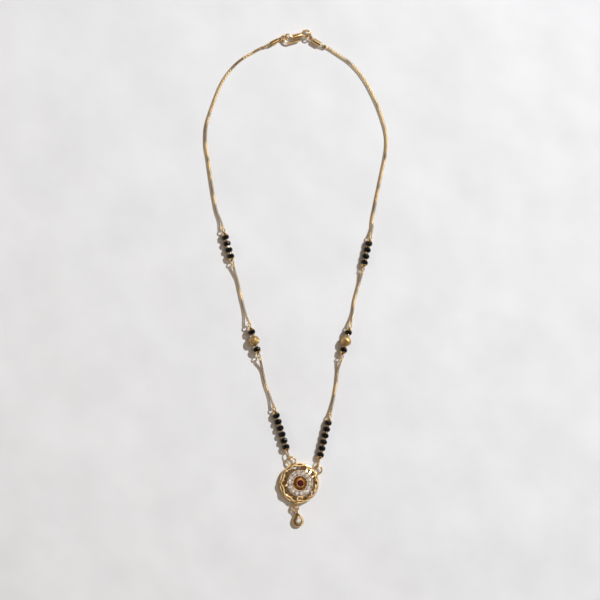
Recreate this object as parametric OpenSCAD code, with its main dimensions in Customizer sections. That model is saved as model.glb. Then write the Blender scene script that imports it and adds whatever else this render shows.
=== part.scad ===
// Mangalsutra: a fine gold-plated chain necklace with strings of black faceted beads,
// two gold beads, an S hook and a round openwork pendant with a small pear drop.
// The necklace lies flat on a surface, clasp towards +Y and pendant towards -Y, in millimetres.

/* [Beads] */
// Diameter of a black bead
bead_d = 3.4; // [2.8:0.1:3.8]
// Length of a black bead along its wire
bead_len = 2.2; // [1.8:0.1:2.6]
// Number of facets round a black bead
bead_facets = 12; // [10:1:14]
// Diameter of a gold bead
gold_d = 4.8; // [4.2:0.1:5.2]
// Length of a gold bead along its wire
gold_len = 4.5; // [4.2:0.1:5.2]
// Diameter of the hole through every bead, spacer and cap
hole_d = 0.85; // [0.8:0.05:0.95]
// Diameter of a gold spacer between two beads
spacer_d = 2.0; // [1.6:0.1:2.4]
// Thickness of a gold spacer
spacer_len = 0.65; // [0.5:0.05:0.9]
// Diameter of a cap at the end of a string of beads
cap_d = 2.6; // [2.2:0.1:2.8]
// Thickness of a cap
cap_len = 0.8; // [0.6:0.05:1.1]
// Diameter of the wire that runs through the beads
pin_d = 0.6; // [0.5:0.05:0.65]
// Radius of the eye at each end of that wire, at the middle of the wire
eye_r = 0.95; // [0.9:0.05:1.0]
// Extra length of the long eye that holds the pendant
long_eye = 2.0; // [1.4:0.1:2.6]
// Clear space between pieces that the real necklace lets touch
gap = 0.08; // [0.05:0.01:0.12]

/* [Chain] */
// Outer width of the box chain
chain_w = 1.4; // [1.0:0.05:1.5]
// Diameter of an end cap that is crimped on the chain
end_cap_d = 2.2; // [2.1:0.1:2.6]
// Length of an end cap
end_cap_len = 3.8; // [3.0:0.1:4.6]
// Depth that the chain goes into its end cap
end_cap_depth = 1.4; // [1.0:0.1:2.0]
// Radius of the eye on an end cap, at the middle of its wire
cap_eye_r = 0.75; // [0.7:0.05:0.8]

/* [Clasp] */
// Wire diameter of the S hook
hook_wire = 0.95; // [0.8:0.05:1.0]
// Wire diameter of the coil wound round the middle of the S hook
wrap_wire = 0.85; // [0.6:0.05:0.9]
// Turns of that coil
wrap_turns = 4.5; // [2.5:1:4.5]
// Wire diameter of a jump ring at the clasp
clasp_ring_wire = 0.65; // [0.5:0.05:0.7]
// Diameter of the ball at the end of the S hook
hook_ball_d = 1.25; // [1.1:0.05:1.4]

/* [Pendant] */
// Outer diameter of the round back band
pendant_d = 18.4; // [18:0.1:19.4]
// Height of the back band
band_h = 2.0; // [1.8:0.1:2.2]
// Wall of the back band
band_wall = 0.6; // [0.5:0.05:0.8]
// Lobes of the wavy rim, each with one large and one small opening
lobes = 10; // [8:1:12]
// Radius at the middle of the wavy rim
rim_r = 8.2; // [8.0:0.1:8.4]
// How far a lobe stands out from that radius, and how far a valley goes in
rim_wave = 0.33; // [0.2:0.01:0.4]
// Width of the wavy rim
rim_w = 0.7; // [0.5:0.05:0.8]
// Outer radius of the round setting that carries the stones
setting_r = 6.15; // [6.0:0.05:6.3]
// Height of that setting above the surface that the pendant lies on
setting_top = 4.05; // [3.8:0.05:4.3]
// Number of clear stones in the ring
stone_count = 14; // [10:1:14]
// Diameter of a clear stone
stone_d = 2.0; // [1.7:0.05:2.05]
// Radius of the circle on which the clear stones sit
stone_ring_r = 4.72; // [4.7:0.02:4.8]
// Diameter of the ruby in the middle
ruby_d = 2.8; // [2.4:0.1:3.0]
// Ribs in the dish round the ruby
dish_ribs = 12; // [8:1:16]
// Outer diameter of a loop that the pendant hangs from
loop_d = 4.5; // [4.3:0.1:4.8]
// Wire diameter of the loops on the pendant
loop_wire = 0.85; // [0.6:0.05:0.9]
// Radius of the upright loop round the lower edge that holds the drop, at the middle of its wire
bail_r = 1.5; // [1.45:0.05:1.6]

/* [Drop] */
// Width of the pear drop
drop_w = 5.3; // [4.6:0.1:5.8]
// Length of the pear drop without its loop
drop_len = 7.0; // [6.2:0.1:7.6]
// Height of the pear drop
drop_h = 2.4; // [2.3:0.05:2.8]
// Width of the pear stone
drop_stone_w = 2.3; // [2.0:0.1:2.8]
// Length of the pear stone
drop_stone_len = 3.0; // [2.9:0.1:3.6]
// Radius of the jump ring that holds the drop, at the middle of its wire
drop_ring_r = 1.45; // [1.4:0.05:1.6]
// Wire diameter of that jump ring
drop_ring_wire = 0.75; // [0.55:0.05:0.8]

/* [Hidden] */
$fn = 48;

gold = [0.84, 0.65, 0.33];
black = [0.05, 0.05, 0.06];
ruby_red = [0.55, 0.03, 0.08];
clear = [0.9, 0.92, 0.95];

// The route of the necklace, points chosen by hand in round numbers

// Where the S hook lies, and the turn of its length from +X
hook_at = [0, 111.5];
hook_turn = 15.5;
// The jump rings at the clasp, in the hook's own X and Y: centre, direction away from the end cap, radius
left_ring_on_hook = [-6.6, 0.5, -7.5, 1.7];
right_ring_on_hook = [5.4, -1.5, 118.5, 1.45];
ring_tilt = 45;
// Direction of the end caps from the chain to the clasp, from the hook's own X
left_cap_on_hook = 12.5;
right_cap_on_hook = 134.5;
// The strings of beads that the chain alone holds: centre and direction down the strand
left_upper_at = [-32.4, 14.2, -74.2];
left_middle_at = [-20.3, -28.7, -72.7];
right_upper_at = [32.6, 11.9, -103.3];
right_middle_at = [22.7, -28.8, -105.3];
// Direction of the lowest strings, which hang in the loops of the pendant
left_lower_turn = -72.5;
right_lower_turn = -104;
// How far the line of a lowest string passes beside the middle of its loop
left_lower_aside = 0.5;
right_lower_aside = 0.5;
// Middle of the pendant, and the turn of its upper side from +Y
pendant_at = [0.8, -93.85];
pendant_turn = -18;
// Where the two loops and the bail of the drop sit, from the pendant's upper side
loop_turn = 37.5;
bail_turn = 189;
// Directions of the jump ring of the drop and of the drop
drop_ring_turn = -62;
drop_turn = -81;
// Points that the chain lies on between its two ends, down each strand
left_upper_points = [
    [-16.5, 106], [-20, 104], [-23.5, 102], [-27, 99.5], [-30.5, 96], [-33.5, 92], [-36, 87.5],
    [-38, 82.5], [-40, 77], [-41.5, 72.5], [-42.5, 67.5], [-42.5, 60.5], [-41.5, 54.5],
    [-40.5, 47.5], [-39.5, 41], [-38.5, 35.5], [-37.5, 30.5]
];
left_middle_points = [[-28, -0.5], [-27, -4.5], [-26, -9], [-25, -13]];
left_lower_points = [[-16, -43], [-15, -47.5], [-13.5, -52]];
right_upper_points = [
    [13, 107.5], [16.5, 105.5], [20.5, 103], [25, 100], [29.5, 95.5], [33, 90.5], [36, 85], [38.5, 79.5],
    [40.5, 74], [42, 68.5], [42.5, 62.5], [41.5, 55.5], [40, 48.5], [38.5, 41.5], [37, 34.5], [35.5, 27]
];
right_middle_points = [[29, -3], [28, -6.5], [27, -10.5], [26.5, -14]];
right_lower_points = [[19, -43.5], [18.5, -48.5], [17.5, -54]];

// Middle height of all that hangs on the bead wires, and of the chain on the surface
axis_z = bead_d / 2;
gold_z = gold_d / 2;
chain_z = chain_w / 2;
// Run over which the chain comes down from an eye
lead = 3;
chain_sides = 8;
stem = 0.3;
slim = 0.02;
// Lean of the plane of an eye from upright, about its string
eye_lean = 50;
long_eye_lean = 20;

function unit(v) = v / norm(v);
function toward(turn) = [cos(turn), sin(turn), 0];
function flat(p, z) = [p[0], p[1], z];
function sum(v, n) = n == 0 ? 0 : v[n - 1] + sum(v, n - 1);

// What is threaded on each wire, from the clasp down
function plain_string(beads) =
    concat(["cap"], [for (i = [0:2 * beads - 2]) i % 2 == 0 ? "bead" : "spacer"], ["cap"]);
four_beads = plain_string(4);
six_beads = plain_string(6);
gold_string = ["cap", "bead", "spacer", "gold", "spacer", "bead", "cap"];
function length_of(kind) =
    kind == "bead" ? bead_len : kind == "gold" ? gold_len : kind == "spacer" ? spacer_len : cap_len;
function lengths(threaded) = [for (kind = threaded) length_of(kind)];
function string_length(threaded) =
    sum(lengths(threaded), len(threaded)) + gap * (len(threaded) - 1);
function place_of(threaded, i) =
    sum(lengths(threaded), i) + gap * i + length_of(threaded[i]) / 2 - string_length(threaded) / 2;
// From the middle of a string to the far side of its eye
function reach(threaded) = string_length(threaded) / 2 + stem + 2 * eye_r + pin_d / 2;

// The pendant's loops, and the strings that hang in them
loop_r = (loop_d - loop_wire) / 2;
loop_sink = 0.35;
loop_from_middle = pendant_d / 2 + loop_r - loop_sink;
function on_pendant(turn, r) =
    flat(pendant_at, axis_z) + r * toward(90 + pendant_turn + turn);
left_loop_at = on_pendant(loop_turn, loop_from_middle);
right_loop_at = on_pendant(-loop_turn, loop_from_middle);
// Middle of a string whose long eye holds a loop, and whose line passes beside the loop's middle
function hung_in(loop_at, turn, aside) =
    let (
        in_loop = sqrt(loop_r * loop_r - aside * aside),
        along = in_loop + long_eye + eye_r + stem + string_length(six_beads) / 2
    )
    loop_at - along * toward(turn) - aside * toward(turn + 90);
left_lower_at = hung_in(left_loop_at, left_lower_turn, left_lower_aside);
right_lower_at = hung_in(right_loop_at, right_lower_turn, right_lower_aside);

// One row for each string: name, x, y, direction, what it holds, height of its wire
strings = [
    ["left_upper", left_upper_at[0], left_upper_at[1], left_upper_at[2], four_beads, axis_z],
    ["left_middle", left_middle_at[0], left_middle_at[1], left_middle_at[2], gold_string, gold_z],
    ["left_lower", left_lower_at[0], left_lower_at[1], left_lower_turn, six_beads, axis_z],
    ["right_upper", right_upper_at[0], right_upper_at[1], right_upper_at[2], four_beads, axis_z],
    ["right_middle", right_middle_at[0], right_middle_at[1], right_middle_at[2], gold_string, gold_z],
    ["right_lower", right_lower_at[0], right_lower_at[1], right_lower_turn, six_beads, axis_z]
];
function string_named(name) = [for (s = strings) if (s[0] == name) s][0];
function count(threaded, kind) = len([for (k = threaded) if (k == kind) k]);
// Ends of a string, where the chain starts: side is 1 down the strand and -1 up it
function string_end(s, side) =
    [s[1], s[2], s[5]] + side * (reach(s[4]) + 2 * gap) * toward(s[3]);

// One ring of points round a swept wire
function section(p, t, up, r, sides) =
    let (side = unit(cross(t, up)), over = cross(t, side))
    [for (k = [0:sides - 1]) p + r * (cos(360 * k / sides) * side + sin(360 * k / sides) * over)];

// A closed skin over rings of points that all have the same number of points
module loft(rings) {
    sides = len(rings[0]);
    last = len(rings) - 1;
    points = [for (ring = rings) each ring];
    foot = [[for (k = [0:sides - 1]) k]];
    head = [[for (k = [sides - 1:-1:0]) last * sides + k]];
    walls = [
        for (i = [0:last - 1], k = [0:sides - 1])
        let (a = i * sides + k, b = i * sides + (k + 1) % sides)
        each [[a, a + sides, b], [b, a + sides, b + sides]]
    ];
    polyhedron(points, concat(foot, walls, head));
}

// A round wire along a path, with the direction that stands up from the path at each point
module sweep(path, ups, radii, sides) {
    last = len(path) - 1;
    loft([
        for (i = [0:last])
        let (t = unit(path[min(i + 1, last)] - path[max(i - 1, 0)]))
        section(path[i], t, ups[i], radii[i], sides)
    ]);
}

// The same row for each point of a path
function each_of(path, value) = [for (p = path) value];

// A smooth curve through chosen points, with a few steps from each to the next
function curve(p, steps) = [
    for (i = [0:len(p) - 2], k = [0:steps - 1])
    let (
        a = p[max(i - 1, 0)], b = p[i], c = p[i + 1], d = p[min(i + 2, len(p) - 1)],
        t = k / steps
    )
    0.5 * (2 * b + (c - a) * t + (2 * a - 5 * b + 4 * c - d) * t * t
        + (3 * b - a - 3 * c + d) * t * t * t),
    p[len(p) - 1]
];

module ring(r, wire) {
    rotate_extrude() translate([r, 0]) circle(d = wire);
}

// Half of a long eye, as an arc in the plane that stands on its wire
module half_eye(wire) {
    rotate([90, 0, 0]) rotate_extrude(angle = 180) translate([eye_r, 0]) circle(d = wire);
}

// Puts a string's own Z axis down the strand
module along_string(s) {
    translate([s[1], s[2], s[5]]) rotate([0, 90, s[3]]) children();
}

// The S hook lies in the plane of its own X and Y
module at_hook() {
    translate(flat(hook_at, axis_z)) rotate([0, 0, hook_turn]) children();
}

// Middle line of the S hook, from the end beside the coil to the end with the ball
hook_path = [
    [0.6, -2.1, 0], [-1.2, -2.15, 0], [-2.9, -2.2, 0], [-4.4, -2.15, 0], [-5.7, -1.5, 0], [-6.45, 0, 0],
    [-5.7, 1.5, 0], [-4.4, 1.95, 0], [-3.3, 1.4, 0], [-2.6, 0.3, 0], [-1.9, 0, 0], [0, 0, 0],
    [1.9, 0, 0], [2.6, -0.25, 0], [3.4, -1.1, 0], [4.5, -1.55, 0], [5.7, -1.1, 0], [6.25, 0, 0],
    [5.7, 1.05, 0], [4.6, 1.5, 0], [3.8, 1.45, 0]
];

// Rings of points on the ball, the last one this many degrees past its middle
ball_rings = 5;
ball_end = 78;

module clasp_hook() {
    wire = curve(hook_path, 3);
    last = len(wire) - 1;
    out = unit(wire[last] - wire[last - 1]);
    ball_r = hook_ball_d / 2;
    swell = acos(hook_wire / hook_ball_d);
    steps = [for (k = [1:ball_rings]) -swell + (swell + ball_end) * k / ball_rings];
    ball = [for (a = steps) wire[last] + ball_r * (sin(swell) + sin(a)) * out];
    path = concat(wire, ball);
    radii = concat(each_of(wire, hook_wire / 2), [for (a = steps) ball_r * cos(a)]);
    color(gold) at_hook() sweep(path, each_of(path, [0, 0, 1]), radii, 10);
}

wrap_steps = 12;

module clasp_wrap() {
    steps = wrap_steps * wrap_turns;
    wrap_r = (hook_wire + wrap_wire) / 2 + gap;
    pitch = wrap_wire + gap;
    run = pitch * wrap_turns;
    function radial(i) = let (a = 180 + 360 * i / wrap_steps) [0, cos(a), sin(a)];
    path = [for (i = [0:steps]) [run * (i / steps - 0.5), 0, 0] + wrap_r * radial(i)];
    ups = [for (i = [0:steps]) radial(i)];
    color(gold) at_hook() sweep(path, ups, each_of(path, wrap_wire / 2), 6);
}

// A place in the hook's own X and Y, carried to the necklace's
function from_hook(at) =
    let (p = flat(hook_at, 0) + at[0] * toward(hook_turn) + at[1] * toward(hook_turn + 90))
    [p[0], p[1], at[2] + hook_turn, at[3]];
left_ring = from_hook(left_ring_on_hook);
right_ring = from_hook(right_ring_on_hook);
left_cap_turn = left_cap_on_hook + hook_turn;
right_cap_turn = right_cap_on_hook + hook_turn;

module clasp_ring(at) {
    color(gold) translate([at[0], at[1], axis_z]) rotate([ring_tilt, 0, at[2]])
        ring(at[3], clasp_ring_wire);
}

// The eye of an end cap is caught at the near side of its jump ring
function cap_eye_at(at) = [at[0], at[1], axis_z] - at[3] * toward(at[2]);
function cap_mouth(at, turn) =
    cap_eye_at(at) - (cap_eye_r + stem + end_cap_len) * toward(turn);

module end_cap(at, turn) {
    color(gold) translate(cap_eye_at(at)) rotate([ring_tilt - 90, 0, turn]) {
        ring(cap_eye_r, pin_d);
        translate([-cap_eye_r - stem - end_cap_len, 0, 0]) rotate([0, 90, 0]) difference() {
            union() {
                cylinder(d = end_cap_d, h = end_cap_len);
                translate([0, 0, end_cap_len - slim]) cylinder(d = pin_d * 1.5, h = stem + slim);
            }
            translate([0, 0, -1]) cylinder(d = chain_w + 2 * gap, h = end_cap_depth + 1);
        }
    }
}

// A chain through points on the surface, which rises to the piece at each of its ends
module chain(start, start_turn, end, end_turn, points, inside = []) {
    function low(p, turn) = p + lead * toward(turn) - [0, 0, 0.7 * (p[2] - chain_z)];
    path = concat(
        inside, [start, low(start, start_turn)],
        [for (p = points) flat(p, chain_z)],
        [low(end, end_turn + 180), end]
    );
    color(gold) sweep(path, each_of(path, [0, 0, 1]), each_of(path, chain_w / 2), chain_sides);
}

module upper_chain(at, cap_turn, name, points) {
    s = string_named(name);
    mouth = cap_mouth(at, cap_turn);
    in_cap = mouth + (end_cap_depth - gap) * toward(cap_turn);
    chain(mouth - gap * toward(cap_turn), cap_turn + 180, string_end(s, -1), s[3], points, [in_cap]);
}

module chain_between(upper, lower, points) {
    a = string_named(upper);
    b = string_named(lower);
    chain(string_end(a, 1), a[3], string_end(b, -1), b[3], points);
}

// Rows of a black bead: share of its half length, share of its radius, turn in facets
bead_rows = [[-1, 0.66, 0], [-0.55, 0.94, 0.5], [0, 1, 0], [0.55, 0.94, 0.5], [1, 0.66, 0]];

module black_bead() {
    color(black) difference() {
        loft([
            for (row = bead_rows) [
                for (k = [0:bead_facets - 1])
                let (a = 360 * (k + row[2]) / bead_facets)
                [bead_d / 2 * row[1] * cos(a), bead_d / 2 * row[1] * sin(a), bead_len / 2 * row[0]]
            ]
        ]);
        cylinder(d = hole_d, h = bead_len + 1, center = true);
    }
}

// The side of a gold bead is an arc through its widest point and its two end rims
gold_rim_r = hole_d / 2 + 0.25;
gold_bulge = gold_d / 2 - gold_rim_r;
gold_arc_r = (gold_len * gold_len / 4 + gold_bulge * gold_bulge) / (2 * gold_bulge);
notch_bands = 4;
notch_r = 0.4;
notch_depth = 0.16;
notch_leans = [-48:16:48];

module gold_bead() {
    color(gold) difference() {
        rotate_extrude() intersection() {
            translate([gold_d / 2 - gold_arc_r, 0]) circle(r = gold_arc_r, $fn = 96);
            translate([hole_d / 2, -gold_len / 2]) square([gold_d, gold_len]);
        }
        for (band = [0:notch_bands - 1], lean = notch_leans)
            rotate([0, 0, 360 * band / notch_bands])
                translate([gold_d / 2 - gold_arc_r, 0, 0])
                    rotate([0, -lean, 0])
                        translate([gold_arc_r + notch_r - notch_depth, 0, 0])
                            sphere(r = notch_r, $fn = 24);
    }
}

module spacer() {
    edge = spacer_len * 0.3;
    rotate_extrude() polygon([
        [hole_d / 2, -spacer_len / 2], [spacer_d / 2 - edge, -spacer_len / 2],
        [spacer_d / 2, edge - spacer_len / 2], [spacer_d / 2, spacer_len / 2 - edge],
        [spacer_d / 2 - edge, spacer_len / 2], [hole_d / 2, spacer_len / 2]
    ]);
}

// A cap widens towards the bead that it closes: share of its radius, share of its length
cap_rows = [[0.64, -0.5], [0.84, 0], [1, 0.15], [1, 0.5]];

module cap() {
    rotate_extrude() polygon(concat(
        [[hole_d / 2, -cap_len / 2]],
        [for (row = cap_rows) [cap_d / 2 * row[0], cap_len * row[1]]],
        [[hole_d / 2, cap_len / 2]]
    ));
}

module string_bead(s, number) {
    threaded = s[4];
    places = [for (i = [0:len(threaded) - 1]) if (threaded[i] == "bead") place_of(threaded, i)];
    along_string(s) translate([0, 0, places[number - 1]]) black_bead();
}

module string_spacers(s) {
    threaded = s[4];
    last = len(threaded) - 1;
    color(gold) along_string(s) {
        for (i = [0:last]) if (threaded[i] == "spacer") translate([0, 0, place_of(threaded, i)]) spacer();
        translate([0, 0, place_of(threaded, 0)]) cap();
        translate([0, 0, place_of(threaded, last)]) mirror([0, 0, 1]) cap();
    }
}

module string_gold_bead(s) {
    along_string(s) gold_bead();
}

// The wire ends in a round eye, or in a long one where it holds the pendant
module string_wire(s) {
    half = string_length(s[4]) / 2 + stem;
    color(gold) along_string(s) {
        cylinder(d = pin_d, h = 2 * half, center = true);
        translate([0, 0, -half - eye_r]) rotate([90, 0, eye_lean]) ring(eye_r, pin_d);
        translate([0, 0, half + eye_r]) {
            if (s[4] == six_beads) rotate([0, 0, long_eye_lean]) {
                mirror([0, 0, 1]) half_eye(pin_d);
                for (side = [-1, 1]) translate([side * eye_r, 0, 0]) cylinder(d = pin_d, h = long_eye);
                translate([0, 0, long_eye]) half_eye(pin_d);
            } else {
                rotate([90, 0, eye_lean]) ring(eye_r, pin_d);
            }
        }
    }
}

// Pendant

band_r = pendant_d / 2;
rim_bottom = band_h + 0.2;
rim_top = band_h + 1.1;
lattice_t = 0.8;
// How far the openings run in under the rim
rim_bite = 0.08;
// Half width of the openings, and how much wider they are towards the rim
large_opening = [0.82, 0.35];
small_opening = [0.5, -0.35];
opening_points = 15;
setting_floor = setting_top - 1.85;

function rim_at(a) = rim_r + rim_wave * cos(lobes * a);
function rim_line(out) = [for (a = [0:3:359]) (rim_at(a) + out) * [cos(a), sin(a)]];

// An opening shaped like an egg, with its wide end outwards where taper is positive
function egg(r, half_r, half_w, taper) = [
    for (k = [0:opening_points - 1])
    let (a = 360 * k / opening_points)
    [r + half_r * cos(a), (1 + taper * cos(a)) * half_w * sin(a)]
];

module pierced_sheet() {
    inner = setting_r + 0.3;
    difference() {
        polygon(rim_line(0));
        for (k = [0:lobes - 1]) rotate(360 * k / lobes) {
            outer = rim_r + rim_wave - rim_w / 2 + rim_bite;
            polygon(egg((inner + outer) / 2, (outer - inner) / 2, large_opening[0], large_opening[1]));
            rotate(180 / lobes) {
                small = rim_r - rim_wave - rim_w / 2 + rim_bite;
                polygon(egg((inner + small) / 2, (small - inner) / 2, small_opening[0], small_opening[1]));
            }
        }
    }
}

// The lattice rises from the inside of the rim to the setting
module lattice() {
    top_in = setting_top - 0.35;
    top_out = rim_top - 0.15;
    in_wall = setting_r - 0.2;
    foot_r = rim_r - rim_wave - rim_w / 2 - 0.1;
    outer_r = rim_r + rim_wave + rim_w;
    intersection() {
        rotate_extrude() polygon([
            [in_wall, top_in - lattice_t], [foot_r, top_out - lattice_t], [outer_r, top_out - lattice_t],
            [outer_r, top_out], [foot_r, top_out], [in_wall, top_in]
        ]);
        linear_extrude(height = setting_top) pierced_sheet();
    }
}

module wavy_rim() {
    translate([0, 0, rim_bottom]) linear_extrude(height = rim_top - rim_bottom) difference() {
        polygon(rim_line(rim_w / 2));
        polygon(rim_line(-rim_w / 2));
    }
}

module back_band() {
    edge = 0.2;
    rotate_extrude() polygon([
        [band_r - band_wall, 0], [band_r, 0], [band_r, band_h - edge], [band_r - edge, band_h],
        [band_r - band_wall + edge, band_h], [band_r - band_wall, band_h - edge]
    ]);
}

// Each lobe of the rim stands on the band by a short slanted strut
strut_d = 0.62;

module struts() {
    foot = [band_r - band_wall / 2, 0, band_h * 0.6];
    head = [rim_r + rim_wave, 0, (rim_bottom + rim_top) / 2];
    rise = head - foot;
    for (k = [0:lobes - 1]) rotate([0, 0, 360 * k / lobes]) translate(foot)
        rotate([0, atan2(rise[0], rise[2]), 0]) cylinder(d = strut_d, h = norm(rise));
}

rib_d = 0.32;
// Share of the dish's slope that a rib leaves free at each end
rib_margin = 0.14;
stone_z = setting_top - 0.3;
ruby_z = setting_top + 0.5;
bezel_r = ruby_d / 2 + 0.35;
bezel_edge = 0.12;
// Depth of a stone's seat below its girdle, as a share of its diameter
stone_seat = 0.43;
ruby_seat = 0.45;
edge_cut = 0.12;
seat_edge = 0.1;
groove_half = 0.25;
dish_lip = 0.24;
dish_depth = 1.15;
foot_in = 0.3;
foot_up = 0.4;

// Turned section of the setting: outer wall, groove for the stones, dish, bezel and floor
module setting() {
    groove_out = stone_ring_r + stone_d / 2 + gap;
    groove_in = stone_ring_r - stone_d / 2 - gap;
    groove_floor = stone_z - stone_d * stone_seat - gap;
    dish_out = groove_in - dish_lip;
    dish_in = bezel_r + seat_edge;
    dish_floor = setting_top - dish_depth;
    ruby_hole = ruby_d / 2 + gap;
    ruby_floor = ruby_z - ruby_d * ruby_seat;
    rotate_extrude() polygon([
        [0, setting_floor], [setting_r - foot_in, setting_floor], [setting_r, setting_floor + foot_up],
        [setting_r, setting_top - edge_cut], [setting_r - edge_cut, setting_top],
        [groove_out + edge_cut / 2, setting_top], [groove_out, setting_top - seat_edge],
        [groove_out, stone_z - seat_edge], [stone_ring_r + groove_half, groove_floor],
        [stone_ring_r - groove_half, groove_floor], [groove_in, stone_z - seat_edge],
        [groove_in, setting_top - seat_edge], [groove_in - edge_cut / 2, setting_top],
        [dish_out, setting_top], [dish_in, dish_floor], [bezel_r, dish_floor],
        [bezel_r, ruby_z - seat_edge], [bezel_r - bezel_edge, ruby_z + bezel_edge],
        [ruby_hole, ruby_z + bezel_edge], [ruby_hole, ruby_z - bezel_edge],
        [foot_in, ruby_floor], [0, ruby_floor]
    ]);
    slope = [dish_out - dish_in, 0, setting_top - dish_floor];
    for (k = [0:dish_ribs - 1]) rotate([0, 0, 360 * (k + 0.5) / dish_ribs])
        translate([dish_in, 0, dish_floor] + rib_margin * slope)
            rotate([0, atan2(slope[0], slope[2]), 0])
                cylinder(d = rib_d, h = (1 - 2 * rib_margin) * norm(slope));
}

// The bail stands round the band and the rim, and the jump ring of the drop runs in it
bail_from_middle = band_r + 0.2;
bail_z = bail_r + loop_wire / 2;
drop_ring_clear = 0.35;

module pendant_frame() {
    color(gold) translate(flat(pendant_at, 0)) rotate([0, 0, 90 + pendant_turn]) {
        back_band();
        struts();
        wavy_rim();
        lattice();
        setting();
        for (turn = [-loop_turn, loop_turn]) rotate([0, 0, turn])
            translate([loop_from_middle, 0, axis_z]) ring(loop_r, loop_wire);
        rotate([0, 0, bail_turn])
            translate([bail_from_middle, 0, bail_z]) rotate([90, 0, 0]) ring(bail_r, loop_wire);
    }
}

// Rows of a cut stone: share of its radius, share of its radius above or below the girdle, turn
stone_rows = [[0.06, -0.82, 0], [1, -0.06, 0], [1, 0.04, 0], [0.82, 0.22, 0.5], [0.56, 0.36, 0]];

module cut_stone(width, sides) {
    loft([
        for (row = stone_rows) [
            for (k = [0:sides - 1])
            let (a = 360 * (k + row[2]) / sides)
            width / 2 * [row[0] * cos(a), row[0] * sin(a), row[1]]
        ]
    ]);
}

module ruby() {
    color(ruby_red) translate(flat(pendant_at, ruby_z)) cut_stone(ruby_d, 16);
}

module clear_stones() {
    color(clear) translate(flat(pendant_at, stone_z)) rotate([0, 0, 90 + pendant_turn])
        for (k = [0:stone_count - 1]) rotate([0, 0, 360 * k / stone_count])
            translate([stone_ring_r, 0, 0]) cut_stone(stone_d, 10);
}

// Drop

drop_ring_at = on_pendant(bail_turn, band_r + drop_ring_clear + drop_ring_wire / 2 + drop_ring_r);
drop_eye_at = drop_ring_at + drop_ring_r * toward(drop_ring_turn);
drop_eye_r = 0.95;
drop_eye_wire = 0.65;

module drop_ring() {
    color(gold) translate(drop_ring_at) ring(drop_ring_r, drop_ring_wire);
}

// A pear outline, its point towards -X and its middle at x
function pear(width, length, x, z) =
    let (r = width / 2, middle = length / 2 - r, open = acos(r / (length - r)))
    concat(
        [[x - length / 2, 0, z]],
        [for (k = [0:pear_steps]) let (a = 180 + open + (360 - 2 * open) * k / pear_steps)
            [x + middle + r * cos(a), r * sin(a), z]]
    );
pear_steps = 16;

// The drop and its stone, from the middle of the eye of the drop
drop_middle = drop_eye_r + drop_len / 2 - drop_eye_wire / 2;
drop_stone_middle = drop_middle + 0.3;
drop_lip = 0.35;
drop_stone_z = drop_h - 0.15;
// Rows of the pear stone: share of its outline, height above its girdle
pear_rows = [[0.25, -0.95], [1, -0.05], [1, 0.05], [0.62, 0.4]];
// Rows of the drop's body: share of its outline, share of its height
body_rows = [[0.8, 0], [0.98, 0.35], [1, 0.45], [0.97, 0.62]];

module at_drop() {
    translate(flat(drop_eye_at, 0)) rotate([0, 0, drop_turn]) children();
}

module drop_setting() {
    seat_w = drop_stone_w + 2 * gap;
    seat_len = drop_stone_len + 3 * gap;
    color(gold) at_drop() {
        loft([
            for (row = body_rows) pear(drop_w * row[0], drop_len * row[0], drop_middle, drop_h * row[1]),
            pear(seat_w + 2 * drop_lip, seat_len + 2.4 * drop_lip, drop_stone_middle, drop_h),
            pear(seat_w, seat_len, drop_stone_middle, drop_h),
            pear(seat_w, seat_len, drop_stone_middle, drop_stone_z + pear_rows[1][1] - gap),
            pear(seat_w * 0.3, seat_len * 0.3, drop_stone_middle, drop_stone_z + pear_rows[0][1] - gap)
        ]);
        translate([0, 0, axis_z]) rotate([90, 0, 0]) ring(drop_eye_r, drop_eye_wire);
    }
}

module drop_stone() {
    color(clear) at_drop() loft([
        for (row = pear_rows)
        pear(drop_stone_w * row[0], drop_stone_len * row[0], drop_stone_middle, drop_stone_z + row[1])
    ]);
}

clasp_hook();
clasp_wrap();
clasp_ring(left_ring);  // left_clasp_ring
clasp_ring(right_ring);  // right_clasp_ring
end_cap(left_ring, left_cap_turn);  // left_end_cap
end_cap(right_ring, right_cap_turn);  // right_end_cap
upper_chain(left_ring, left_cap_turn, "left_upper", left_upper_points);  // left_upper_chain
upper_chain(right_ring, right_cap_turn, "right_upper", right_upper_points);  // right_upper_chain
chain_between("left_upper", "left_middle", left_middle_points);  // left_middle_chain
chain_between("right_upper", "right_middle", right_middle_points);  // right_middle_chain
chain_between("left_middle", "left_lower", left_lower_points);  // left_lower_chain
chain_between("right_middle", "right_lower", right_lower_points);  // right_lower_chain
for (s = strings) {
    for (i = [1:count(s[4], "bead")])
        string_bead(s, i);
    string_spacers(s);
    string_wire(s);
}
string_gold_bead(string_named("left_middle"));  // left_gold_bead
string_gold_bead(string_named("right_middle"));  // right_gold_bead
pendant_frame();
ruby();
clear_stones();
drop_ring();
drop_setting();
drop_stone();
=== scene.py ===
import math

import bmesh
import bpy
from mathutils import Matrix, Vector


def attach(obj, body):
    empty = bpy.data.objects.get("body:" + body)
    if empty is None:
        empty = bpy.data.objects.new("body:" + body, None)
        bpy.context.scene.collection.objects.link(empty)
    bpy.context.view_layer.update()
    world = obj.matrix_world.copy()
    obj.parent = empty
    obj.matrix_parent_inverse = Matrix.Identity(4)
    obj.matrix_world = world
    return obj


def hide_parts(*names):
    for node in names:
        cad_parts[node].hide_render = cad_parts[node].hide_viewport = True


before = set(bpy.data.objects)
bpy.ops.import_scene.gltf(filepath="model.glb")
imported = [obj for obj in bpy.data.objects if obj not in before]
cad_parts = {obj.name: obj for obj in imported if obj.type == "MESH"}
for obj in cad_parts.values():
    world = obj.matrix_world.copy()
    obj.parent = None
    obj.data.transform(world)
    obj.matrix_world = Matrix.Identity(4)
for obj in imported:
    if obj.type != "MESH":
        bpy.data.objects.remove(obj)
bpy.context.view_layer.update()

# Metres in a millimetre
MM = 0.001


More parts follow.
